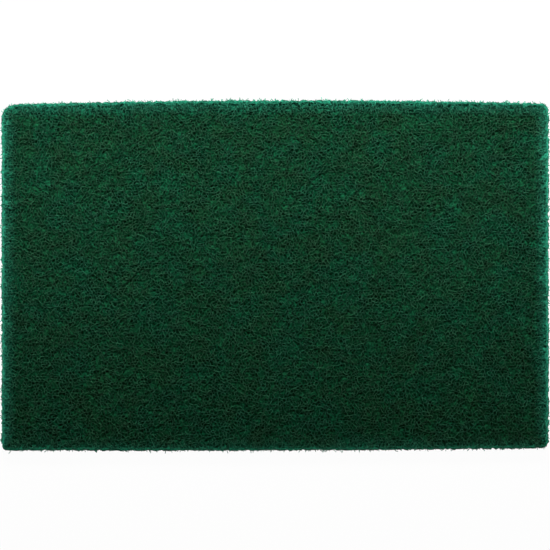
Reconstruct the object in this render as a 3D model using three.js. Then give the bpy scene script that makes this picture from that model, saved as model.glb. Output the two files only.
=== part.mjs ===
// A hand scouring pad: one rectangular piece cut from a wide web of lofty non-woven nylon.
// The web is a tangle of crimped fibres, bonded with resin and grit. Both faces are a net of wandering
// crests with a pit in each mesh, where the tangle lies open, and the cut edges are ragged.
// Nothing is joined to the web: the whole pad is one closed body.
// Millimetres. X runs along the pad, Y across it and Z up, from the middle of the underside.
import * as THREE from "three";
import { mergeVertices } from "three/addons/utils/BufferGeometryUtils.js";

// The pad as cut
const padLength = 230;
const padWidth = 147;
const padThickness = 8;
const cornerRadii = { rearLeft: 5, rearRight: 2.5, frontLeft: 2, frontRight: 2.5 };
const rearEdgeBow = 1.6; // how far the middle of a long edge stands out past its ends
const frontEdgeBow = 0.5;
const rimRound = 1.2; // between a face and a cut edge
const edgeRagging = 0.9; // how far a cut edge may lie inside the pad's outline

// The net of crests and pits on each face
const crestStep = 4; // about how far a crest is from the next pit, along the pad and across it
const shallowPit = 1.4;
const deepPit = 3;
const crestDip = 0.7; // how far a crest may lie below the face
const sidewaysWander = 0.3; // as a share of the step from one place to the next
const landReach = 1; // how many places the level land in the middle of a face reaches each way

const webGreen = new THREE.MeshStandardMaterial({ color: 0x1f5c40, roughness: 0.85, metalness: 0 });

// Chance is repeatable: the same seed always gives the same tangle.
const random = THREE.MathUtils.seededRandom;
const tangleSeed = 31;
random(tangleSeed);

// A chance offset of up to the given reach, to either side.
function wander(reach) {
  return reach * (2 * random() - 1);
}

// The web's levels from the underside to the top face: height, and how far the rim draws in there.
const levels = [
  { z: 0, drawnIn: rimRound },
  { z: rimRound, drawnIn: 0 },
  { z: padThickness / 2, drawnIn: 0 },
  { z: padThickness - rimRound, drawnIn: 0 },
  { z: padThickness, drawnIn: rimRound },
];
const topLevel = levels.length - 1;
const middleLevel = topLevel / 2;

// Even counts of columns and rows put one place in the very middle of each face and cut edge.
const middleColumn = Math.round(padLength / 2 / crestStep);
const middleRow = Math.round(padWidth / 2 / crestStep);
const lastColumn = 2 * middleColumn;
const lastRow = 2 * middleRow;

// The column, row and level of a vertex in the even grid that the web is shaped from.
function gridPlace(grid, vertex) {
  const nearest = (value, size, count) => Math.round((value / size + 0.5) * count);
  return {
    column: nearest(grid.attributes.position.getX(vertex), padLength, lastColumn),
    row: nearest(grid.attributes.position.getY(vertex), padWidth, lastRow),
    level: nearest(grid.attributes.position.getZ(vertex), padThickness, topLevel),
  };
}

// Every other place is a pit, and the pits of the underside lie below crests of the top face.
function isPitPlace({ column, row, level }) {
  const shift = level === 0 ? 1 : 0;
  return (column + row + shift) % 2 === 1;
}

// Turns each cell's diagonal so that it runs from crest to crest, round the pits.
// The six vertices of a cell are its triangles a, b, d and b, c, d.
function turnDiagonals(grid) {
  const verticesPerCell = 6;
  const index = grid.index.array;
  for (let i = 0; i < index.length; i += verticesPerCell) {
    const [a, b, d, , c] = index.slice(i, i + verticesPerCell);
    if (!isPitPlace(gridPlace(grid, a))) index.set([a, b, c, a, c, d], i);
  }
}

// Moves a point of the square corner onto the corner's arc, and leaves the rest of the outline.
function roundCorner(point, halfLength, halfWidth) {
  const radius = cornerRadii[(point.y < 0 ? "front" : "rear") + (point.x < 0 ? "Left" : "Right")];
  const u = (Math.abs(point.x) - (halfLength - radius)) / radius;
  const v = (Math.abs(point.y) - (halfWidth - radius)) / radius;
  if (u <= 0 || v <= 0) return;
  point.x = Math.sign(point.x) * (halfLength - radius + radius * u * Math.sqrt(1 - (v * v) / 2));
  point.y = Math.sign(point.y) * (halfWidth - radius + radius * v * Math.sqrt(1 - (u * u) / 2));
}

// Bows the long edges: the rear edge stands out most, and the front edge a little.
function bowEdges(point) {
  const along = (2 * point.x) / padLength;
  const rearShare = 0.5 + point.y / padWidth;
  point.y += along * along * (frontEdgeBow * (1 - rearShare) - rearEdgeBow * rearShare);
}

// How far below its face a place lies: not at all on the land, a little on a crest, most in a pit.
function faceDepth(place, onRim) {
  const pit = THREE.MathUtils.lerp(shallowPit, deepPit, random());
  const dip = crestDip * random();
  const offColumn = Math.abs(place.column - middleColumn);
  const offRow = Math.abs(place.row - middleRow);
  if (Math.max(offColumn, offRow) <= landReach) return 0;
  return dip + (isPitPlace(place) && !onRim ? pit : 0);
}

// The point of the web at one place of the grid. Every place takes as many chances as any other.
function webPoint(place) {
  const { column, row, level } = place;
  const { z, drawnIn } = levels[level];
  const halfLength = padLength / 2 - drawnIn;
  const halfWidth = padWidth / 2 - drawnIn;
  const onEnd = column === 0 || column === lastColumn;
  const onSide = row === 0 || row === lastRow;
  const point = new THREE.Vector3(
    halfLength * (column / middleColumn - 1),
    halfWidth * (row / middleRow - 1),
    z,
  );
  const depth = faceDepth(place, onEnd || onSide);
  if (level === 0) point.z += depth;
  if (level === topLevel) point.z -= depth;

  // The middle of each cut edge reaches the outline, so the pad keeps its full size.
  const ragging = edgeRagging * random();
  const isMiddle = column === middleColumn || row === middleRow;
  const inward = level === middleLevel && isMiddle ? 0 : ragging;
  const lengthwise = wander((sidewaysWander * padLength) / lastColumn);
  const crosswise = wander((sidewaysWander * padWidth) / lastRow);
  point.x += onEnd ? -Math.sign(point.x) * inward : lengthwise;
  point.y += onSide ? -Math.sign(point.y) * inward : crosswise;
  roundCorner(point, halfLength, halfWidth);
  bowEdges(point);
  return point;
}

function webGeometry() {
  const grid = new THREE.BoxGeometry(padLength, padWidth, padThickness, lastColumn, lastRow, topLevel);
  grid.deleteAttribute("normal");
  grid.deleteAttribute("uv");
  turnDiagonals(grid);
  const web = mergeVertices(grid);
  for (let i = 0; i < web.attributes.position.count; i++) {
    const { x, y, z } = webPoint(gridPlace(web, i));
    web.attributes.position.setXYZ(i, x, y, z);
  }
  web.computeVertexNormals();
  return web;
}

const pad = new THREE.Group();
const web = new THREE.Mesh(webGeometry(), webGreen);
web.name = "scouring_pad";
pad.add(web);

export default pad;
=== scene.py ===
# %% [markdown]
# # A nylon scouring pad
# A hand pad for pots and worktops is cut from a wide, springy web of nylon. The fibres are
# crimped like wool, laid at random, sprayed with resin and grit, and cured. Nothing is woven,
# and the pad is mostly air. Here it is built the way it is made: thousands of single crimped
# fibres, laid at random over a darker heart, and cut off along the pad's outline.

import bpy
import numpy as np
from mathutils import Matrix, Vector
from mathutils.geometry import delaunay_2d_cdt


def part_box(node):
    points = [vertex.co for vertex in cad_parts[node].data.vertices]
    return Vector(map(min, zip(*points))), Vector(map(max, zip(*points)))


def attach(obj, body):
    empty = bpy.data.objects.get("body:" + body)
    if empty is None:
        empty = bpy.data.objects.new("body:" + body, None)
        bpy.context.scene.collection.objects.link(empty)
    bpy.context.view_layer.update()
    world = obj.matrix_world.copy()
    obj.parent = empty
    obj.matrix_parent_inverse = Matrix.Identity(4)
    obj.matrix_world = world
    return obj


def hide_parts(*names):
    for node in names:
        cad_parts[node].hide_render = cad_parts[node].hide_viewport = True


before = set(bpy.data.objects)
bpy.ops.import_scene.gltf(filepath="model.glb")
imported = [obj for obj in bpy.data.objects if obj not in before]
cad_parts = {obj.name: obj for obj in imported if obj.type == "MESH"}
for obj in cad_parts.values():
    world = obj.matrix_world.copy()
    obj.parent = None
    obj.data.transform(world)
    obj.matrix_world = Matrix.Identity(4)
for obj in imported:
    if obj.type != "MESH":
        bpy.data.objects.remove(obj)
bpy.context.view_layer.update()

# %% [markdown]
# The frame's own box says how large the pad is, so the outline here always fits the solid.
# The values below are what the eye needs besides: the radius of each corner, how the long
# edges bow and lean, and how far the top and bottom rims are rounded. All lengths are in
# metres.

MM = 0.001
node_low, node_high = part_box("scouring_pad")
LENGTH = node_high.x - node_low.x
WIDTH = node_high.y - node_low.y
THICKNESS = node_high.z - node_low.z
CORNERS = {
    "rear_left": 5 * MM,
    "rear_right": 2.5 * MM,
    "front_left": 2 * MM,
    "front_right": 2.5 * MM,
}
REAR_BOW = 1.6 * MM
FRONT_BOW = 0.5 * MM
REAR_LEAN = 0.25 * MM
FRONT_LEAN = 0.45 * MM
RIM_ROUND = 1.2 * MM
print(f"pad {LENGTH / MM:.1f} x {WIDTH / MM:.1f} x {THICKNESS / MM:.1f} mm")

# %% [markdown]
# The camera looks straight down on the pad. The photograph shows no converging edges, so the
# lens is long and far away. Where the pad's edges fall in the picture gives the scale, and
# from that the lens and the camera's place follow.

# %% Camera
scene = bpy.context.scene
PICTURE = 550
PAD_LEFT, PAD_RIGHT = 1.9, 548.4
PAD_REAR, PAD_FRONT = 100.0, 450.8
CAMERA_HEIGHT = 1.5
pixel = LENGTH / (PAD_RIGHT - PAD_LEFT)
camera_data = bpy.data.cameras.new("camera")
camera_data.sensor_width = 36.0
camera_data.lens = camera_data.sensor_width * (CAMERA_HEIGHT - THICKNESS) / (pixel * PICTURE)
camera = bpy.data.objects.new("camera", camera_data)
camera.location.x = (PICTURE - PAD_LEFT - PAD_RIGHT) / 2 * pixel
camera.location.y = (PAD_REAR + PAD_FRONT - PICTURE) / 2 * pixel
camera.location.z = CAMERA_HEIGHT
scene.collection.objects.link(camera)
scene.camera = camera
scene.view_settings.view_transform = "Standard"
print(f"one pixel is {pixel / MM:.3f} mm, lens {camera_data.lens:.0f} mm")

# %% [markdown]
# A material is a small net of nodes. One helper adds a node and sets its inputs by name, and
# a second joins two of them. That keeps each material short enough to read as a recipe.

# %% Helpers for node trees
def add(tree, kind, settings=(), **inputs):
    """Adds a node, sets its settings and then its inputs, and returns it."""
    node = tree.nodes.new(kind)
    for name, value in dict(settings).items():
        setattr(node, name, value)
    for name, value in inputs.items():
        node.inputs[name.replace("_", " ")].default_value = value
    return node


def join(tree, source, output, target, entry):
    """Joins an output of one node to an input of another."""
    tree.links.new(source.outputs[output], target.inputs[entry])


def new_material(name):
    """An empty material with its output node."""
    material = bpy.data.materials.new(name)
    material.use_nodes = True
    material.node_tree.nodes.clear()
    output = add(material.node_tree, "ShaderNodeOutputMaterial")
    return material, material.node_tree, output


# %% [markdown]
# The background is white paper. What the camera sees directly is a plain white of strength 1.
# What lights the pad is a much weaker sky, so that the pits of the web can go dark. Light
# Path tells the two apart, and mirror-like and clear things would see the white one as well.

# %% Sky
WHITE = (1, 1, 1, 1)
SKY_STRENGTH = 0.08


def seen_directly(tree):
    """A mask that is 1 for camera, glossy and transmission rays. Returns the last node."""
    path = add(tree, "ShaderNodeLightPath")
    either = add(tree, "ShaderNodeMath", {"operation": "MAXIMUM"})
    any_of = add(tree, "ShaderNodeMath", {"operation": "MAXIMUM"})
    join(tree, path, "Is Camera Ray", either, 0)
    join(tree, path, "Is Glossy Ray", either, 1)
    join(tree, either, 0, any_of, 0)
    join(tree, path, "Is Transmission Ray", any_of, 1)
    return any_of


world = bpy.data.worlds.new("white_sky")
world.use_nodes = True
sky = world.node_tree
sky.nodes.clear()
sky_output = add(sky, "ShaderNodeOutputWorld")
sky_light = add(sky, "ShaderNodeBackground", Color=WHITE, Strength=SKY_STRENGTH)
sky_seen = add(sky, "ShaderNodeBackground", Color=WHITE, Strength=1.0)
sky_mix = add(sky, "ShaderNodeMixShader")
join(sky, seen_directly(sky), 0, sky_mix, 0)
join(sky, sky_light, 0, sky_mix, 1)
join(sky, sky_seen, 0, sky_mix, 2)
join(sky, sky_mix, 0, sky_output, "Surface")
scene.world = world

# %% [markdown]
# The floor is mostly the same plain white to the camera, with a little of its real shading
# left in, so that the pad's shadow stays. From below it is clear, and it stops no light, so
# the lamp under it lights the underside and the lower half of the cut edges.

# %% Floor
FLOOR_SIDE = 8.0
FLOOR_DROP = 0.1 * MM
PAPER_SHARE = 0.97
PAPER_COLOUR = (0.9, 0.9, 0.9, 1)


def paper_material():
    """White paper for the floor."""
    material, tree, output = new_material("white_paper")
    paper = add(tree, "ShaderNodeBsdfDiffuse", Color=PAPER_COLOUR)
    white = add(tree, "ShaderNodeEmission", Color=WHITE, Strength=1.0)
    share = add(tree, "ShaderNodeMath", {"operation": "MULTIPLY"})
    share.inputs[1].default_value = PAPER_SHARE
    lit = add(tree, "ShaderNodeMixShader")
    clear = add(tree, "ShaderNodeBsdfTransparent")
    side = add(tree, "ShaderNodeNewGeometry")
    path = add(tree, "ShaderNodeLightPath")
    either = add(tree, "ShaderNodeMath", {"operation": "MAXIMUM"})
    both = add(tree, "ShaderNodeMixShader")
    join(tree, seen_directly(tree), 0, share, 0)
    join(tree, share, 0, lit, 0)
    join(tree, paper, 0, lit, 1)
    join(tree, white, 0, lit, 2)
    join(tree, side, "Backfacing", either, 0)
    join(tree, path, "Is Shadow Ray", either, 1)
    join(tree, either, 0, both, 0)
    join(tree, lit, 0, both, 1)
    join(tree, clear, 0, both, 2)
    join(tree, both, 0, output, "Surface")
    return material


bpy.ops.mesh.primitive_plane_add(size=FLOOR_SIDE, location=(0, 0, -FLOOR_DROP))
floor = bpy.context.object
floor.name = "floor"
floor.data.materials.append(paper_material())

# %% [markdown]
# One long soft lamp stands behind the rear edge, low enough that its light slants over the
# fibres and gives every strand a lit and a shaded side. It shines in a narrow spread at the
# rear of the pad, so its light fades towards the front edge as it does in the photograph. A
# weak lamp in front and one under the floor keep the fibre ends from turning black.

# %% Lamps
REAR_PLACE = (0.0, 0.30, 0.36)
REAR_AIM = (0.0, 0.09, 0.0)
REAR_SIZE = (1.0, 0.15)
REAR_SPREAD = 56.0
REAR_POWER = 1.45
FRONT_PLACE = (0.0, -0.6, 0.08)
FRONT_SIZE = (0.8, 0.1)
FRONT_POWER = 0.5
UNDER_PLACE = (0.0, -0.2, -0.6)
UNDER_SIZE = (0.8, 0.5)
UNDER_POWER = 5.0


def soft_lamp(name, place, size, power, aim=(0.0, 0.0, 0.0), spread=180.0):
    """A long lamp that shines from its place towards a point and isn't seen itself."""
    data = bpy.data.lights.new(name, "AREA")
    data.shape = "RECTANGLE"
    data.size, data.size_y = size
    data.energy = power
    data.spread = np.radians(spread)
    lamp = bpy.data.objects.new(name, data)
    lamp.location = place
    lamp.rotation_mode = "QUATERNION"
    lamp.rotation_quaternion = (Vector(aim) - Vector(place)).to_track_quat("-Z", "Y")
    lamp.visible_camera = False
    scene.collection.objects.link(lamp)


soft_lamp("rear_lamp", REAR_PLACE, REAR_SIZE, REAR_POWER, REAR_AIM, REAR_SPREAD)
soft_lamp("front_lamp", FRONT_PLACE, FRONT_SIZE, FRONT_POWER)
soft_lamp("under_lamp", UNDER_PLACE, UNDER_SIZE, UNDER_POWER)
print("lamps:", [light.name for light in bpy.data.lights])

# %% [markdown]
# The dyed resin isn't even. Where it is thick the web is a deep bottle green, where it is thin
# the fibre shows through as teal, and dust from the grit turns patches brownish. Resin is
# sprayed on the faces only, so a freshly cut edge is paler and more teal, and that paler colour
# also paints a glow of light through the fibre ends. Last, all is scaled by a tone that holds
# painted shade. Both the fibres and the heart of the pad use this, so it is one shader group
# with inputs.

# %% Uneven resin, as a shader group
THIN_RESIN = {"offset": 0.0, "low": 0.42, "high": 0.62}
DUSTY_RESIN = {"offset": 0.7, "low": 0.48, "high": 0.66}
MIX_MASK, MIX_FIRST, MIX_SECOND, MIX_COLOUR = 0, 6, 7, 2  # sockets of a colour mix


def new_group(name, inputs, outputs):
    """A shader group with its sockets. Inputs and outputs are pairs of a name and a kind."""
    group = bpy.data.node_groups.new(name, "ShaderNodeTree")
    for socket, kind in inputs:
        group.interface.new_socket(name=socket, in_out="INPUT", socket_type=f"NodeSocket{kind}")
    for socket, kind in outputs:
        group.interface.new_socket(name=socket, in_out="OUTPUT", socket_type=f"NodeSocket{kind}")
    return group, add(group, "NodeGroupInput"), add(group, "NodeGroupOutput")


def cloud_mask(tree, source, scale_socket, offset, low, high):
    """Soft patches from 0 to 1, as large as one over the scale."""
    place = add(tree, "ShaderNodeTexCoord")
    moved = add(tree, "ShaderNodeVectorMath", {"operation": "ADD"})
    moved.inputs[1].default_value = (offset, offset, offset)
    noise = add(tree, "ShaderNodeTexNoise", Detail=2.0)
    mask = add(tree, "ShaderNodeMapRange", {"interpolation_type": "SMOOTHSTEP"})
    mask.inputs["From Min"].default_value = low
    mask.inputs["From Max"].default_value = high
    join(tree, place, "Object", moved, 0)
    join(tree, moved, 0, noise, "Vector")
    join(tree, source, scale_socket, noise, "Scale")
    join(tree, noise, 0, mask, "Value")
    return mask


def mix_colours(tree, mask, mask_output, first, first_output, second, second_output):
    """Mixes two colours by a mask. Returns the mixing node."""
    mix = add(tree, "ShaderNodeMix", {"data_type": "RGBA"})
    join(tree, mask, mask_output, mix, MIX_MASK)
    join(tree, first, first_output, mix, MIX_FIRST)
    join(tree, second, second_output, mix, MIX_SECOND)
    return mix


def resin_group():
    """Green, teal and brown patches, paler and with a painted glow where the web is bare, all times
    a tone with painted shade.
    """
    colours = [("Green", "Color"), ("Teal", "Color"), ("Brown", "Color"), ("Cut", "Color")]
    inputs = colours + [("Patch Scale", "Float"), ("Bare And Glow", "Float"), ("Tone", "Float")]
    group, given, result = new_group("uneven_resin", inputs, [("Color", "Color")])
    thin = cloud_mask(group, given, "Patch Scale", **THIN_RESIN)
    dusty = cloud_mask(group, given, "Patch Scale", **DUSTY_RESIN)
    teal = mix_colours(group, thin, 0, given, "Green", given, "Teal")
    brown = mix_colours(group, dusty, 0, teal, MIX_COLOUR, given, "Brown")
    cut = mix_colours(group, given, "Bare And Glow", brown, MIX_COLOUR, given, "Cut")
    toned_and_shaded = add(group, "ShaderNodeVectorMath", {"operation": "SCALE"})
    join(group, cut, MIX_COLOUR, toned_and_shaded, 0)
    join(group, given, "Tone", toned_and_shaded, "Scale")
    join(group, toned_and_shaded, 0, result, "Color")
    return group


RESIN = resin_group()

# %% [markdown]
# Grit is fine crushed mineral set in the resin. It makes the fibres dull and rough to the
# light, and it sits in beads, so a strand is darker here and lighter there. A fast noise gives
# a height for a bump and the roughness, and a slower one gives the beads. A noise seldom goes
# below 0.3 or above 0.7, so that range is stretched.

# %% Grit, as a shader group
NOISE_RANGE = (0.3, 0.7)


def grit_group():
    """Grains and beads: a height, the roughness that goes with it, and a change of tone."""
    inputs = [("Grain Scale", "Float"), ("Smooth", "Float"), ("Rough", "Float")]
    inputs += [("Bead Scale", "Float"), ("Bead Dark", "Float"), ("Bead Light", "Float")]
    outputs = [("Height", "Float"), ("Roughness", "Float"), ("Beads", "Float")]
    group, given, result = new_group("grit", inputs, outputs)
    place = add(group, "ShaderNodeTexCoord")
    grains = add(group, "ShaderNodeTexNoise", Detail=1.0)
    rough = add(group, "ShaderNodeMapRange")
    clumps = add(group, "ShaderNodeTexNoise", Detail=0.0)
    beads = add(group, "ShaderNodeMapRange")
    beads.inputs["From Min"].default_value, beads.inputs["From Max"].default_value = NOISE_RANGE
    join(group, place, "Object", grains, "Vector")
    join(group, given, "Grain Scale", grains, "Scale")
    join(group, grains, 0, rough, "Value")
    join(group, given, "Smooth", rough, "To Min")
    join(group, given, "Rough", rough, "To Max")
    join(group, place, "Object", clumps, "Vector")
    join(group, given, "Bead Scale", clumps, "Scale")
    join(group, clumps, 0, beads, "Value")
    join(group, given, "Bead Dark", beads, "To Min")
    join(group, given, "Bead Light", beads, "To Max")
    join(group, grains, 0, result, "Height")
    join(group, rough, 0, result, "Roughness")
    join(group, beads, 0, result, "Beads")
    return group


GRIT = grit_group()

# %% [markdown]
# Each strand carries two numbers in its mesh: its own tone, because no two fibres hold the
# same resin, with painted shade that darkens it the deeper it lies, and how bare it is, from 0
# in the pad to 1 at a cut edge, which also paints a glow of light there. The scales below say
# how many patches, grains and beads lie along a metre.

# %% Fibre material
GREEN = (0.0270, 0.1120, 0.0550, 1)
TEAL = (0.0240, 0.1195, 0.0640, 1)
BROWN = (0.0296, 0.1070, 0.0510, 1)
# Painted glow: the cut colour is paler and more teal, partly bare fibre, partly light through the
# ends.
CUT_TEAL_AND_GLOW = (0.0480, 0.5150, 0.3250, 1)
FIBRE_COLOURS = (GREEN, TEAL, BROWN, CUT_TEAL_AND_GLOW)
PATCHES = 90.0
GRAINS = 4500.0
GRAIN_HEIGHT = 0.03 * MM
GRAIN_STRENGTH = 0.6
GLOSS = 0.02
BEADS = 1300.0


def use_group(tree, group, **inputs):
    """Places a shader group in a tree and sets its inputs."""
    node = add(tree, "ShaderNodeGroup", {"node_tree": group})
    for name, value in inputs.items():
        node.inputs[name.replace("_", " ")].default_value = value
    return node


def stored_number(tree, name):
    """A number that each vertex of the mesh carries."""
    return add(tree, "ShaderNodeAttribute", {"attribute_name": name})


def web_material(name, colours, smooth, rough, dark, light):
    """A material of resin and grit. Its colours are green, teal, brown and freshly cut with a
    painted glow, and its stored tone holds painted shade.
    """
    material, tree, output = new_material(name)
    green, teal, brown, cut = colours
    resin = use_group(tree, RESIN, Green=green, Teal=teal, Brown=brown, Cut=cut,
                      Patch_Scale=PATCHES, Tone=1.0)
    grit = use_group(tree, GRIT, Grain_Scale=GRAINS, Smooth=smooth, Rough=rough,
                     Bead_Scale=BEADS, Bead_Dark=dark, Bead_Light=light)
    beaded_and_shaded = add(tree, "ShaderNodeMath", {"operation": "MULTIPLY"})
    bump = add(tree, "ShaderNodeBump", Strength=GRAIN_STRENGTH, Distance=GRAIN_HEIGHT)
    nylon = add(tree, "ShaderNodeBsdfPrincipled", Specular_IOR_Level=GLOSS)
    join(tree, stored_number(tree, "bare_and_glow"), "Fac", resin, "Bare And Glow")
    join(tree, stored_number(tree, "tone"), "Fac", beaded_and_shaded, 0)
    join(tree, grit, "Beads", beaded_and_shaded, 1)
    join(tree, beaded_and_shaded, 0, resin, "Tone")
    join(tree, resin, "Color", nylon, "Base Color")
    join(tree, grit, "Roughness", nylon, "Roughness")
    join(tree, grit, "Height", bump, "Height")
    join(tree, bump, "Normal", nylon, "Normal")
    join(tree, nylon, "BSDF", output, "Surface")
    return material


FIBRE = web_material("nylon_fibre", FIBRE_COLOURS, smooth=0.5, rough=0.8, dark=0.5, light=1.4)
print("material:", FIBRE.name)

# %% [markdown]
# Deep in the pad the eye sees only more fibre, in shadow. That heart is one closed body with
# a fine net of crests and pits. Its colours are the fibres' with painted shade, about half as
# bright, and a purer green as painted light that has bounced there many times. Its tone, painted
# shade too, is lowest in the pits.

# %% Heart material
# Painted shade: the fibres' colours, darker and a purer green.
SHADED_HEART_GREEN = (0.0053, 0.0560, 0.0205, 1)
SHADED_HEART_TEAL = (0.0043, 0.0600, 0.0240, 1)
SHADED_HEART_BROWN = (0.0065, 0.0538, 0.0190, 1)
SHADED_HEART_CUT_GLOW = (0.0240, 0.3000, 0.1800, 1)
SHADED_HEART_COLOURS = (SHADED_HEART_GREEN, SHADED_HEART_TEAL, SHADED_HEART_BROWN, SHADED_HEART_CUT_GLOW)
HEART_SHADED = web_material("inner_web_shaded", SHADED_HEART_COLOURS, smooth=0.6, rough=0.9, dark=0.6, light=1.4)
print("material:", HEART_SHADED.name)

# %% [markdown]
# The outline is a rectangle with four different corners and two long edges that bow and
# lean. One function says how far any point lies inside it, for whole arrays of points at
# once. It first straightens the edges, and then measures to a rectangle with round corners.

# %% Outline of the pad
def corner_radius(x, y):
    """The radius of the corner nearest to each point."""
    rear = np.where(x < 0, CORNERS["rear_left"], CORNERS["rear_right"])
    front = np.where(x < 0, CORNERS["front_left"], CORNERS["front_right"])
    return np.where(y < 0, front, rear)


def bow(x, y):
    """How far the long edges' bow and lean move each point across the pad."""
    rear_share = 0.5 + y / WIDTH
    along = 2 * x / LENGTH
    bowed = along**2 * (FRONT_BOW * (1 - rear_share) - REAR_BOW * rear_share)
    return bowed + along * (FRONT_LEAN * (1 - rear_share) + REAR_LEAN * rear_share)


def inside_outline(x, y):
    """How far points lie inside the pad's outline. It is below zero outside."""
    straight = y - bow(x, y)
    radius = corner_radius(x, y)
    right = np.abs(x) - LENGTH / 2 + radius
    up = np.abs(straight) - WIDTH / 2 + radius
    corner = np.hypot(np.maximum(right, 0), np.maximum(up, 0))
    return radius - corner - np.minimum(np.maximum(right, up), 0)


def outward(x, y):
    """The heading from each point straight out of the pad."""
    reach = 0.5 * MM
    across = inside_outline(x + reach, y) - inside_outline(x - reach, y)
    along = inside_outline(x, y + reach) - inside_outline(x, y - reach)
    return np.arctan2(-along, -across)


def rim_inset(z):
    """How far the rounded rim draws in at a height."""
    from_face = np.clip(np.minimum(z, THICKNESS - z), 0, RIM_ROUND)
    return RIM_ROUND - np.sqrt(RIM_ROUND**2 - (RIM_ROUND - from_face) ** 2)


# %% [markdown]
# Resin is sprayed on the faces, so the cut edge shows fibre with less of it, and its paler
# colour also paints the glow of light through the fibre ends. The bareness is highest in the
# last two millimetres, and a weaker trace of it reaches further in. How much glows along each
# edge is painted light as well: the two long edges glow less than the two short ones, and the
# trace is left out at the front edge, which lies in the pad's own shade.

# %% How bare the fibre is near the cut, and its painted glow
BARE_GLOW_SKIN = 1.9 * MM
BARE_GLOW_REACH = 6 * MM
BARE_GLOW_TRACE = 0.3
FRONT_SHARE = 0.6
REAR_SHARE = 0.6


def bareness_and_glow(x, y):
    """From 0 in the pad to 1 at the cut: bare fibre with a painted glow."""
    gap = np.clip(inside_outline(x, y), -BARE_GLOW_SKIN, BARE_GLOW_REACH)
    facing = np.sin(outward(x, y))
    front, rear = np.clip(-facing, 0, 1), np.clip(facing, 0, 1)
    # Painted light: less glow on the long edges, and no trace at the front, which lies in shade.
    share = 1 - (1 - FRONT_SHARE) * front - (1 - REAR_SHARE) * rear
    skin = (1 - BARE_GLOW_TRACE) * np.exp(-gap / BARE_GLOW_SKIN) * share
    trace = BARE_GLOW_TRACE * (1 - gap / BARE_GLOW_REACH) * (1 - front)
    return np.minimum(skin + trace, 1)


# %% [markdown]
# A crimped fibre swings from side to side as it goes, like a river, and drifts slowly one
# way. Adding up short steps along its heading gives the fibre's middle line. It also rises
# and falls in small waves, and its ends dive into the pad. All strands of a layer are made
# together as one array, which is fast.

# %% Middle lines of crimped strands
LIFT = 0.3 * MM
LIFT_PITCH = (1.8 * MM, 4.0 * MM)
FIBRE_RADIUS = 0.16 * MM
DRIFT = 60.0  # radians along a metre


def rise_and_fall(chance, heights, distance, dive):
    """The height along each strand: small waves, and ends that dive into the pad."""
    def each(low, high):
        return chance.uniform(low, high, (len(heights), 1))

    wave = LIFT * np.sin(2 * np.pi * (distance / each(*LIFT_PITCH) + each(0, 1)))
    sunk = dive * (distance / distance.max()) ** 2
    return np.clip(heights[:, None] + wave + sunk, FIBRE_RADIUS, THICKNESS - FIBRE_RADIUS)


def strand_lines(chance, centres, heights, headings, length, step, swings, pitches, dive):
    """Points along each strand: an array of strands by steps by x, y and z."""
    count = len(centres)
    steps = 2 * round(length / step / 2)
    distance = (np.arange(steps + 1) - steps / 2) * step

    def each(low, high):
        return chance.uniform(low, high, (count, 1))

    turn = 2 * np.pi
    swing = each(*swings) * np.sin(turn * distance / each(*pitches) + each(0, turn))
    heading = headings[:, None] + each(-DRIFT, DRIFT) * distance + swing
    x = np.cumsum(np.cos(heading), axis=1) * step
    y = np.cumsum(np.sin(heading), axis=1) * step
    middle = steps // 2
    x += centres[:, :1] - x[:, middle : middle + 1]
    y += centres[:, 1:] - y[:, middle : middle + 1]
    return np.stack([x, y, rise_and_fall(chance, heights, distance, dive)], axis=2)


# %% [markdown]
# The pad is cut with a blade, and the blade leaves fibre ends of uneven length. Every strand
# gets its own small miss from the outline, and neighbours share a tuft that stands out or
# falls short. From its middle outwards, a strand lives until it first crosses the outline,
# and the rest of it is dropped.

# %% Cut strands along the outline
LEAST_STEPS = 3
TUFTS = ((2.3 * MM, 0.25 * MM), (3.7 * MM, 0.2 * MM), (6.1 * MM, 0.15 * MM))


def tufts(x, y):
    """How far the tufts of the cut edge reach out or fall short along the outline."""
    return sum(reach * np.sin(2 * np.pi * (x - y) / pitch) for pitch, reach in TUFTS)


def cut_to_outline(chance, lines, miss):
    """A mask of the points that stay: strands by steps. Past the outline a miss is below zero."""
    misses = chance.uniform(*miss, (len(lines), 1))
    x, y, z = np.moveaxis(lines, 2, 0)
    stays = inside_outline(x, y) > misses + rim_inset(z) + tufts(x, y)
    middle = lines.shape[1] // 2
    ahead = np.cumprod(stays[:, middle:], axis=1).astype(bool)
    behind = np.cumprod(stays[:, middle::-1], axis=1).astype(bool)[:, ::-1]
    kept = np.hstack([behind[:, :-1], ahead])
    kept[kept.sum(axis=1) <= LEAST_STEPS] = False
    return kept


# %% [markdown]
# A line becomes a fibre by giving it a thin skin of three sides. At a third of a millimetre
# across, three smooth-shaded sides look round, and they keep the pad within a million
# triangles. Each fibre is closed at both ends, so its mesh has no holes.

# %% Rings round the middle lines
SIDES = 3


def rings(lines, radii):
    """The skin's vertices: strands by steps by sides by x, y and z."""
    along = np.gradient(lines, axis=1)
    along /= np.linalg.norm(along, axis=2, keepdims=True)
    aside = np.cross(along, (0.0, 0.0, 1.0))
    aside /= np.linalg.norm(aside, axis=2, keepdims=True)
    above = np.cross(aside, along)
    angles = np.pi / 2 + 2 * np.pi * np.arange(SIDES) / SIDES
    across = np.cos(angles)[:, None] * aside[:, :, None, :]
    upward = np.sin(angles)[:, None] * above[:, :, None, :]
    return lines[:, :, None, :] + radii[:, None, None, None] * (across + upward)


# %% [markdown]
# For the exported model each fibre needs a place of its own on the texture. The square is
# ruled into thin strips, one per strand, with the strand's length along the strip and its
# three sides across it. The two small ends lie past the end of the strip.

# %% Places of the fibres on the texture
STRIPS_ACROSS = 8
STRIP_FILL = 0.86
START_PLACE, END_PLACE = 0.3, 0.6
END_CORNERS = ((0, 0), (0.2, 0), (0, 0.2))


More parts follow.
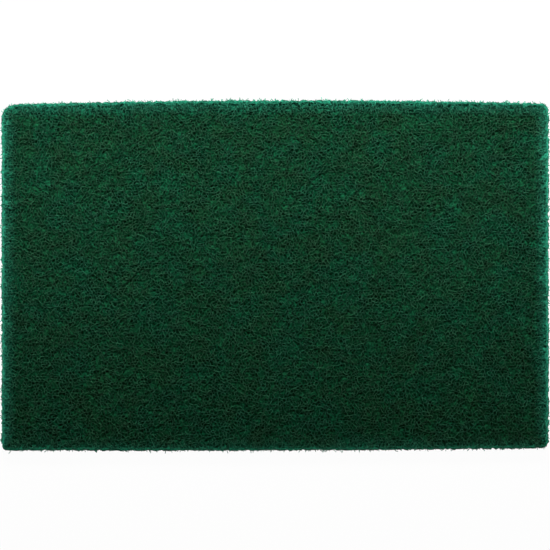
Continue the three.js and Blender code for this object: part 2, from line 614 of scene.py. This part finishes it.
def strip_corner(strand, count):
    """The low corner of each strand's strip and the strips' size."""
    rows = -(-count // STRIPS_ACROSS)
    wide, high = 1 / STRIPS_ACROSS, 1 / rows
    return (strand % STRIPS_ACROSS) * wide, (strand // STRIPS_ACROSS) * high, wide, high


def side_map(strand, step, steps, count, side):
    """Texture places of the four corners of each quad on one side of the strands."""
    left, low, wide, high = strip_corner(strand, count)
    u_first = left + wide * STRIP_FILL * step / steps
    u_second = left + wide * STRIP_FILL * (step + 1) / steps
    v_first = low + high * STRIP_FILL * side / SIDES
    v_second = low + high * STRIP_FILL * (side + 1) / SIDES
    u = np.stack([u_first, u_first, u_second, u_second], axis=1)
    v = np.stack([v_first, v_second, v_second, v_first], axis=1)
    return np.stack([u, v], axis=2)


def end_map(strand, count, place):
    """Texture places of the three corners of each strand's start or end."""
    left, low, wide, high = strip_corner(strand, count)
    u = left + wide * (STRIP_FILL + (1 - STRIP_FILL) * place)
    corners = np.array(END_CORNERS) * (wide * (1 - STRIP_FILL), high)
    return np.stack([u, low], axis=1)[:, None, :] + corners


# %% [markdown]
# A mesh of many small faces is quickest to make from whole arrays: first the points, then
# the corners of all faces in one row, and then where in that row each face starts. Each point
# also stores two numbers, its tone and how bare it is, and the materials read them.

# %% Meshes from arrays
def mesh_of_faces(name, points, quads, quad_map, triangles, triangle_map):
    """A smooth mesh of quads and triangles with its texture map."""
    mesh = bpy.data.meshes.new(name)
    corners = np.concatenate([quads.ravel(), triangles.ravel()])
    uvs = np.concatenate([quad_map.reshape(-1, 2), triangle_map.reshape(-1, 2)])
    sizes = np.concatenate([np.full(len(quads), 4), np.full(len(triangles), 3)])
    mesh.vertices.add(len(points))
    mesh.vertices.foreach_set("co", points.astype(np.float32).ravel())
    mesh.loops.add(len(corners))
    mesh.loops.foreach_set("vertex_index", corners.astype(np.int32))
    mesh.polygons.add(len(sizes))
    mesh.polygons.foreach_set("loop_start", (np.cumsum(sizes) - sizes).astype(np.int32))
    mesh.polygons.foreach_set("use_smooth", np.ones(len(sizes), bool))
    layer = mesh.uv_layers.new(name="OFBake")
    layer.data.foreach_set("uv", uvs.astype(np.float32).ravel())
    return mesh


def store_numbers(mesh, tones_and_shades, bares_and_glow):
    """Stores the tone, with its painted shade, and the bareness, with its painted glow, of each
    point in the mesh.
    """
    for stored, values in (("tone", tones_and_shades), ("bare_and_glow", bares_and_glow)):
        attribute = mesh.attributes.new(stored, "FLOAT", "POINT")
        attribute.data.foreach_set("value", values.astype(np.float32))


def count_triangles(mesh):
    """How many triangles the faces of a mesh make."""
    return sum(len(polygon.vertices) - 2 for polygon in mesh.polygons)


# %% [markdown]
# The mesh of a tangle joins each ring to the next by quads, one for each side. Where a strand
# was cut, a triangle closes it, turned so that it faces outwards at either end.

# %% Build a mesh of fibres
def fibre_mesh(name, lines, kept, radii, tones_and_shades, bares_and_glow):
    """A mesh of closed fibres, with their texture strips and stored numbers."""
    count, steps = len(kept), kept.shape[1] - 1
    number = np.cumsum(kept.ravel()).reshape(kept.shape) - 1
    strand, step = np.nonzero(kept[:, :-1] & kept[:, 1:])
    first = number[strand, step] * SIDES
    second = number[strand, step + 1] * SIDES
    quads, quad_map = [], []
    for side in range(SIDES):
        after = (side + 1) % SIDES
        quads.append(np.stack([first + side, first + after, second + after, second + side], axis=1))
        quad_map.append(side_map(strand, step, steps, count, side))

    padded = np.pad(kept, ((0, 0), (1, 1)))
    starts, ends = kept & ~padded[:, :-2], kept & ~padded[:, 2:]
    caps, cap_map = [], []
    for at_end, order, place in ((starts, (2, 1, 0), START_PLACE), (ends, (0, 1, 2), END_PLACE)):
        owner, at = np.nonzero(at_end)
        caps.append(number[owner, at][:, None] * SIDES + np.array(order))
        cap_map.append(end_map(owner, count, place))

    skin = rings(lines, radii)[kept].reshape(-1, 3)
    mesh = mesh_of_faces(name, skin, np.concatenate(quads), np.concatenate(quad_map),
                         np.concatenate(caps), np.concatenate(cap_map))
    store_numbers(mesh, np.repeat(tones_and_shades[kept], SIDES), np.repeat(bares_and_glow[kept], SIDES))
    mesh.update(calc_edges=True)
    mesh.validate()
    return mesh


# %% [markdown]
# One more helper lays a whole tangle: it cuts the lines, gives each strand its thickness and
# its tone, and turns them into a piece that rides with the pad. A strand's tone holds painted
# shade, darker the deeper it lies, and a strand is never evenly bare.

# %% Lay a tangle
TONES = (0.8, 1.03)
BARE_GLOW_SHARES = (0.6, 1)
SHADE_DEPTH = 2.4 * MM
RADII = (0.8, 1.15)


def lay_tangle(name, chance, lines, miss):
    """A piece of fibres along the given lines, cut along the outline."""
    kept = cut_to_outline(chance, lines, miss)
    x, y, z = np.moveaxis(lines, 2, 0)
    depth = np.minimum(np.minimum(z, THICKNESS - z), np.maximum(inside_outline(x, y), 0))
    # Painted shade: a strand's tone falls off the deeper it lies in the pad.
    tones_and_shades = chance.uniform(*TONES, (len(lines), 1)) * np.exp(-depth / SHADE_DEPTH)
    bares_and_glow = bareness_and_glow(x, y) * chance.uniform(*BARE_GLOW_SHARES, (len(lines), 1))
    radii = FIBRE_RADIUS * chance.uniform(*RADII, len(lines))
    mesh = fibre_mesh(name, lines, kept, radii, tones_and_shades, bares_and_glow)
    mesh.materials.append(FIBRE)
    piece = bpy.data.objects.new(name, mesh)
    scene.collection.objects.link(piece)
    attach(piece, "root")
    print(f"{name}: {kept.any(axis=1).sum()} strands, {count_triangles(mesh)} triangles")


# %% [markdown]
# Under the fibres lies the heart of the pad, where one sees only more fibre, in shadow. Its
# rim lies a little inside the outline. It starts as a plain square of places, which is
# stretched to the pad's size, rounded at the corners and bent along the long edges.

# %% Rim of the heart
RIM_STEP = 1.0 * MM
RIM_COUNTS = (round(LENGTH / RIM_STEP), round(WIDTH / RIM_STEP))
HEART_INSET = 0.35 * MM


def onto_outline(across, up, inset):
    """Moves places of a plain -1 to 1 square into the pad's outline, drawn in by an inset."""
    half_length, half_width = LENGTH / 2 - inset, WIDTH / 2 - inset
    x, y = across * half_length, up * half_width
    radius = corner_radius(x, y)
    u = np.maximum((np.abs(x) - half_length) / radius + 1, 0)
    v = np.maximum((np.abs(y) - half_width) / radius + 1, 0)
    in_corner = (u > 0) & (v > 0)
    round_x = np.sign(x) * (half_length - radius + radius * u * np.sqrt(1 - v * v / 2))
    round_y = np.sign(y) * (half_width - radius + radius * v * np.sqrt(1 - u * u / 2))
    x, y = np.where(in_corner, round_x, x), np.where(in_corner, round_y, y)
    return np.stack([x, y + bow(x, y)], axis=-1)


def rim_loop():
    """Points once round the heart's rim, anticlockwise from the front left corner."""
    columns, rows = RIM_COUNTS
    across = np.linspace(-1, 1, columns, endpoint=False)
    up = np.linspace(-1, 1, rows, endpoint=False)
    x = np.concatenate([across, np.ones(rows), -across, -np.ones(rows)])
    y = np.concatenate([-np.ones(columns), up, np.ones(columns), -up])
    return onto_outline(x, y, HEART_INSET)


RIM = rim_loop()
print(f"rim of the heart: {len(RIM)} points")

# %% [markdown]
# Fibres that lie on one another leave gaps, and at arm's length these gaps are what one sees
# most: small dark pits, close together but in no order. So the pits come first. They start
# as the middles of a honeycomb and are shifted by chance.

# %% Places for the pits
TOP_PITCH = 1.35 * MM
UNDER_PITCH = 2.2 * MM
PIT_SHIFT = 0.42
HONEYCOMB_ROW = np.sqrt(0.75)


def pit_places(chance, pitch):
    """Places for the pits, at about this pitch."""
    row_pitch = pitch * HONEYCOMB_ROW
    column, row = np.meshgrid(np.arange(LENGTH // pitch + 1), np.arange(WIDTH // row_pitch + 1))
    x = (column + 0.5 * (row % 2)) * pitch - LENGTH / 2
    y = row * row_pitch - WIDTH / 2
    x += pitch * chance.uniform(-PIT_SHIFT, PIT_SHIFT, x.shape)
    y += pitch * chance.uniform(-PIT_SHIFT, PIT_SHIFT, y.shape)
    return np.stack([x, y], axis=-1)[inside_outline(x, y) > HEART_INSET + pitch / 2]


# %% [markdown]
# The pits are joined by triangles that are as even as can be. In the middle of each
# triangle, between three neighbouring pits, the web stands highest, and a crest is placed
# there. The net is then split again, so that its folds run from crest to crest round the
# pits. For that, each side of a triangle has to know the triangle beyond it.

# %% Triangles and their neighbours
INSIDE_LOOP = 1
SAME_PLACE = 1e-9


def triangles_between(chance, pitch, rim):
    """The rim and the pits as places, and the triangles between them."""
    starts = np.concatenate([rim, pit_places(chance, pitch)])
    loop = list(range(len(rim)))
    found = delaunay_2d_cdt(starts.tolist(), [], [loop], INSIDE_LOOP, SAME_PLACE)
    return np.array([tuple(place) for place in found[0]]), np.array(found[2])


def sides_of(threes):
    """Each triangle's sides: their ends, their owner, the triangle beyond, their edge."""
    ends = np.stack([threes, np.roll(threes, -1, axis=1)], axis=2).reshape(-1, 2)
    _, edge, uses = np.unique(np.sort(ends, axis=1), axis=0, return_inverse=True,
                              return_counts=True)
    edge = edge.ravel()
    owner = np.repeat(np.arange(len(threes)), 3)
    both = np.bincount(edge, weights=owner).astype(int)
    beyond = np.where(uses[edge] == 2, both[edge] - owner, -1)
    return ends, owner, beyond, edge


# %% [markdown]
# A net is a dictionary of arrays, because the heart and the strands both need it. Most pits
# are deep, and the deeper a pit is, the darker the shade painted into its tone, since light
# hardly gets out of it. The crests are painted lighter, and darker where a crest dips deeper.
# The rim lies just under the face.

# %% Nets of pits and crests
CREST_DEPTH = 1.1 * MM
CREST_DIP = 0.8 * MM
PIT_DEPTH = 2.4 * MM
PIT_EVENNESS = 0.8
RIM_DEPTH = 0.5 * MM
CREST_LIT_TONE = 1.25
DIP_SHADE = 0.5
PIT_SHADE_TONE = 0.07


def pit_net(chance, pitch, rim):
    """The net of pits and crests of one face, as a dictionary of arrays."""
    low, threes = triangles_between(chance, pitch, rim)
    crests = low[threes].mean(axis=1)
    ends, owner, beyond, edge = sides_of(threes)
    own, other = len(low) + owner, len(low) + beyond
    inner = np.stack([ends[:, 0], other, own], axis=1)
    outer = np.stack([ends[:, 0], ends[:, 1], own], axis=1)
    deep = chance.random(len(low)) ** PIT_EVENNESS
    deep[: len(rim)] = 0
    dip = chance.random(len(crests))
    depth = np.concatenate([CREST_DEPTH + PIT_DEPTH * deep, CREST_DEPTH + CREST_DIP * dip])
    depth[: len(rim)] = RIM_DEPTH
    return {
        "places": np.concatenate([low, crests]),
        "depth": depth,
        # Painted shade and light: dark in deep pits, light on high crests.
        "tone": np.concatenate([PIT_SHADE_TONE ** deep, CREST_LIT_TONE - DIP_SHADE * dip]),
        "triangles": np.where(beyond[:, None] < 0, outer, inner),
        "crests": crests,
        "beyond": beyond.reshape(-1, 3),
        "edge": edge.reshape(-1, 3),
        "edges": edge.max() + 1,
    }


net_chance = np.random.default_rng(5)
TOP_NET = pit_net(net_chance, TOP_PITCH, RIM)
UNDER_NET = pit_net(net_chance, UNDER_PITCH, RIM)
print(f"top net: {len(TOP_NET['crests'])} crests, under net: {len(UNDER_NET['crests'])} crests")

# %% [markdown]
# Between the rims of the two nets stands a wall. It is pushed outwards by chance at each
# level, so that it looks torn behind the fibre ends.

# %% Wall of the heart
WALL_LEVELS = 5
WALL_RAGGING = 0.95 * MM
WALL_TONES = (0.1, 0.6)


def wall_rings(chance, low_rim, high_rim):
    """Rings of points from one rim up to the other, pushed outwards by chance."""
    walls = []
    for level in range(1, WALL_LEVELS):
        ring = low_rim + (high_rim - low_rim) * level / WALL_LEVELS
        heading = outward(ring[:, 0], ring[:, 1])
        push = chance.uniform(0, WALL_RAGGING, len(ring))
        ring[:, 0] += push * np.cos(heading)
        ring[:, 1] += push * np.sin(heading)
        walls.append(ring)
    return walls


# %% [markdown]
# The heart's texture shows the two faces one above the other, each as seen from above, and
# the four stretches of wall as long strips under them.

# %% Places of the heart on the texture
TEXTURE_MARGIN = 0.01
FACE_BAND = 0.42
FACE_LOWS = {"top": 0.57, "under": 0.13}
STRIP_PITCH = 0.03
STRIP_HIGH = 0.026


def across_texture(share):
    """Turns a share of the pad's length into a place across the texture."""
    return TEXTURE_MARGIN + (1 - 2 * TEXTURE_MARGIN) * share


def face_map(places, low):
    """Texture places of one face, in a band of the square."""
    u = across_texture(places[:, 0] / LENGTH + 0.5)
    v = low + FACE_BAND * (places[:, 1] / WIDTH + 0.5)
    return np.stack([u, v], axis=1)


def wall_map():
    """Texture places of the wall's quads: a strip for each of the four cut edges."""
    columns, rows = RIM_COUNTS
    counts, lengths = (columns, rows, columns, rows), (LENGTH, WIDTH, LENGTH, WIDTH)
    corners = []
    for level in range(WALL_LEVELS):
        for side, (count, length) in enumerate(zip(counts, lengths)):
            u = across_texture(length / LENGTH * np.arange(count + 1) / count)
            low = STRIP_PITCH * side + STRIP_HIGH * level / WALL_LEVELS
            high = low + STRIP_HIGH / WALL_LEVELS
            v = np.tile((low, low, high, high), (count, 1))
            corners.append(np.stack([np.stack([u[:-1], u[1:], u[1:], u[:-1]], axis=1), v], axis=2))
    return np.concatenate(corners).reshape(-1, 2)


# %% [markdown]
# The heart is one closed body of the two nets and the wall. The underside's triangles are
# turned round, so that they face down.

# %% Mesh of the heart
def heart_mesh(chance):
    """The mesh of the heart, with its stored numbers and its texture map."""
    top = np.column_stack([TOP_NET["places"], THICKNESS - TOP_NET["depth"]])
    under = np.column_stack([UNDER_NET["places"], UNDER_NET["depth"]])
    walls = wall_rings(chance, under[: len(RIM)], top[: len(RIM)])
    points = np.concatenate([top, under] + walls)
    loops = [len(top) + np.arange(len(RIM))]
    for level in range(len(walls)):
        loops.append(len(top) + len(under) + level * len(RIM) + np.arange(len(RIM)))
    loops.append(np.arange(len(RIM)))
    quads = [np.stack([low, np.roll(low, -1), np.roll(high, -1), high], axis=1)
             for low, high in zip(loops[:-1], loops[1:])]
    upward, downward = TOP_NET["triangles"], UNDER_NET["triangles"][:, ::-1]
    faces = np.concatenate([upward, downward + len(top)]).tolist() + np.concatenate(quads).tolist()

    mesh = bpy.data.meshes.new("web_heart")
    mesh.from_pydata(points.tolist(), [], faces)
    mesh.polygons.foreach_set("use_smooth", np.ones(len(faces), bool))
    top_map = face_map(TOP_NET["places"], FACE_LOWS["top"])[upward]
    under_map = face_map(UNDER_NET["places"], FACE_LOWS["under"])[downward]
    uvs = np.concatenate([top_map.reshape(-1, 2), under_map.reshape(-1, 2), wall_map()])
    layer = mesh.uv_layers.new(name="OFBake")
    layer.data.foreach_set("uv", uvs.astype(np.float32).ravel())
    wall_tones = chance.uniform(*WALL_TONES, len(points) - len(top) - len(under))
    tones_and_shades = np.concatenate([TOP_NET["tone"], UNDER_NET["tone"], wall_tones])
    store_numbers(mesh, tones_and_shades, bareness_and_glow(points[:, 0], points[:, 1]))
    mesh.update()
    mesh.validate()
    return mesh


# %% [markdown]
# The heart takes the place of the frame's solid, which would show as a plain block.

# %% The heart of the pad
heart = bpy.data.objects.new("web_heart", heart_mesh(np.random.default_rng(6)))
heart.data.materials.append(HEART_SHADED)
scene.collection.objects.link(heart)
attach(heart, "root")
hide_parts("scouring_pad")
print(f"heart: {count_triangles(heart.data)} triangles")

# %% [markdown]
# Some strands on a face cross all the others freely. A carding machine spreads them evenly,
# and a fibre that settles falls into the gaps between the others. So they are laid in rounds:
# each round throws more strands than it needs, looks up how many lie along each one's way
# already, and keeps those with the freest way.

# %% Lay crossing strands evenly
ROUNDS = 60
THROWN = 8
CELL = 0.8 * MM
SPARE_CELLS = 40


def laid_evenly(chance, throw, count):
    """Strand lines that keep out of each other's way. The throw makes a number of lines."""
    columns, rows = round(LENGTH / CELL) + 2 * SPARE_CELLS, round(WIDTH / CELL) + 2 * SPARE_CELLS
    lying = np.zeros((columns, rows))
    kept = []
    share = round(count / ROUNDS)
    for _ in range(ROUNDS):
        lines = throw(share * THROWN)
        column = ((lines[:, :, 0] + LENGTH / 2) / CELL).astype(int) + SPARE_CELLS
        row = ((lines[:, :, 1] + WIDTH / 2) / CELL).astype(int) + SPARE_CELLS
        column, row = np.clip(column, 0, columns - 1), np.clip(row, 0, rows - 1)
        freest = np.argsort(lying[column, row].mean(axis=1))[:share]
        np.add.at(lying, (column[freest], row[freest]), 1)
        kept.append(lines[freest])
    return np.concatenate(kept)


# %% [markdown]
# Most strands hardly cross a pit, because a pit is where no strand lies. They wander: each
# starts where few strands lie, goes from crest to crest round the pits, keeps roughly to its
# heading, and at every crest favours the way that fewer strands have taken. Counting the
# strands on each edge of the net spreads them evenly. Turning back costs much, and leaving
# the net costs most.

# %% Strands that wander round the pits
LEGS = 12
TURN = 0.8
CROWD = 0.9
CHOICE = 6
BACK_COST = 10
LEAVE_COST = 100


def wandering_paths(chance, net, laid, count):
    """Paths from crest to crest: strands by places by x and y. Counts what lies on each edge."""
    crests, beyond, edge = net["crests"], net["beyond"], net["edge"]
    start = chance.integers(0, len(crests), count * CHOICE)
    at = start[np.argsort(laid[edge[start]].sum(axis=1))[:count]]
    came_from = np.full(count, -1)
    heading = chance.uniform(0, 2 * np.pi, count)
    path = [crests[at]]
    for _ in range(LEGS):
        ahead = beyond[at]
        way = crests[ahead] - crests[at][:, None]
        bearing = np.arctan2(way[:, :, 1], way[:, :, 0])
        score = np.cos(bearing - heading[:, None]) - CROWD * laid[edge[at]]
        score -= BACK_COST * (ahead == came_from[:, None]) + LEAVE_COST * (ahead < 0)
        pick = np.arange(count), np.argmax(score, axis=1)
        np.add.at(laid, edge[at][pick], 1)
        came_from, at = at, ahead[pick]
        heading = heading + chance.normal(0, TURN, count)
        path.append(crests[at])
    return np.stack(path, axis=1)


def softened(path):
    """Takes the sharp corners off a path."""
    soft = path.copy()
    soft[:, 1:-1] = (path[:, :-2] + 2 * path[:, 1:-1] + path[:, 2:]) / 4
    return soft


# %% [markdown]
# Each face carries both kinds of strands, from the face down to the heart. The wandering ones
# are laid in ten shares, so that later strands see where the earlier ones lie, and then
# shifted a little, so that no two lie on the same line. The top face is laid as three pieces,
# because one would be too heavy to handle, and the underside as one.

# %% Tangles on the two faces
STRAND_LENGTH = 6.0 * MM
STRAND_STEP = 0.5 * MM
LAYER_DEPTH = 0.9 * MM
DIVE = 0.6 * MM
SHARES = 10
SCATTER = 0.1 * MM
FACE_MISS = (-0.5 * MM, 0.3 * MM)
FACE_SWINGS = (0.9, 1.4)
FACE_PITCHES = (1.7 * MM, 3.6 * MM)
FACES = {
    "top": {"net": TOP_NET, "seeds": (100, 101, 102), "wandering": 2220, "crossing": 290},
    "under": {"net": UNDER_NET, "seeds": (300,), "wandering": 1500, "crossing": 220},
}


def face_tangle(name, seed, face, crossed):
    """A layer of strands all over one face."""
    chance = np.random.default_rng(seed)
    top = face == "top"
    net, wandering, crossing = (FACES[face][key] for key in ("net", "wandering", "crossing"))
    dive = -DIVE if top else DIVE

    def depths(thrown):
        depth = FIBRE_RADIUS + LAYER_DEPTH * chance.random(thrown)
        return THICKNESS - depth if top else depth

    def throw(thrown):
        centres = chance.uniform(-0.5, 0.5, (thrown, 2)) * (LENGTH, WIDTH)
        headings = chance.uniform(0, 2 * np.pi, thrown)
        return strand_lines(chance, centres, depths(thrown), headings, STRAND_LENGTH, STRAND_STEP,
                            FACE_SWINGS, FACE_PITCHES, dive)

    share = wandering // SHARES
    plans = [wandering_paths(chance, net, crossed, share) for _ in range(SHARES)]
    plan = softened(np.concatenate(plans))
    plan += chance.uniform(-SCATTER, SCATTER, (len(plan), 1, 2))
    plan += chance.uniform(-SCATTER / 2, SCATTER / 2, plan.shape)
    distance = np.linspace(-STRAND_LENGTH / 2, STRAND_LENGTH / 2, LEGS + 1)
    z = rise_and_fall(chance, depths(len(plan)), distance, dive)
    wanderers = np.concatenate([plan, z[:, :, None]], axis=2)
    lines = np.concatenate([wanderers, laid_evenly(chance, throw, crossing)])
    lay_tangle(name, chance, lines, FACE_MISS)


for face, plan in FACES.items():
    crossed = np.zeros(plan["net"]["edges"])
    for number, seed in enumerate(plan["seeds"]):
        face_tangle(f"{face}_fibres_{number + 1}", seed, face, crossed)

# %% [markdown]
# Along the cut edges the whole thickness of the web lies open. Fibre ends stand out there
# like the pile of a brush, because a blade pulls them straight before it cuts them. Each one
# starts inside the pad, heads outwards and ends near the outline. The band that they start
# in is narrow, so many more places are thrown than are kept.

# %% Fibre ends along the cut edges
EDGE_STRANDS = 3600
EDGE_BAND = (0.6 * MM, 3.2 * MM)
EDGE_THROWN = 25
EDGE_LENGTH = 6.0 * MM
EDGE_STEP = 1.0 * MM
EDGE_LEAN = 0.5
EDGE_MISS = (-1.5 * MM, 0.0 * MM)
EDGE_SWINGS = (0.1, 0.7)
EDGE_PITCHES = (3 * MM, 6 * MM)
EDGE_DIVE = 0


def edge_places(chance, count):
    """Places by chance in the band behind the outline."""
    spots = chance.uniform(-0.5, 0.5, (count * EDGE_THROWN, 2)) * (LENGTH, WIDTH)
    gap = inside_outline(spots[:, 0], spots[:, 1])
    return spots[(gap > EDGE_BAND[0]) & (gap < EDGE_BAND[1])][:count]


edge_chance = np.random.default_rng(500)
centres = edge_places(edge_chance, EDGE_STRANDS)
heights = edge_chance.uniform(FIBRE_RADIUS, THICKNESS - FIBRE_RADIUS, len(centres))
lean = edge_chance.normal(0, EDGE_LEAN, len(centres))
headings = outward(centres[:, 0], centres[:, 1]) + lean
lines = strand_lines(edge_chance, centres, heights, headings, EDGE_LENGTH, EDGE_STEP,
                     EDGE_SWINGS, EDGE_PITCHES, EDGE_DIVE)
lay_tangle("edge_fibres", edge_chance, lines, EDGE_MISS)
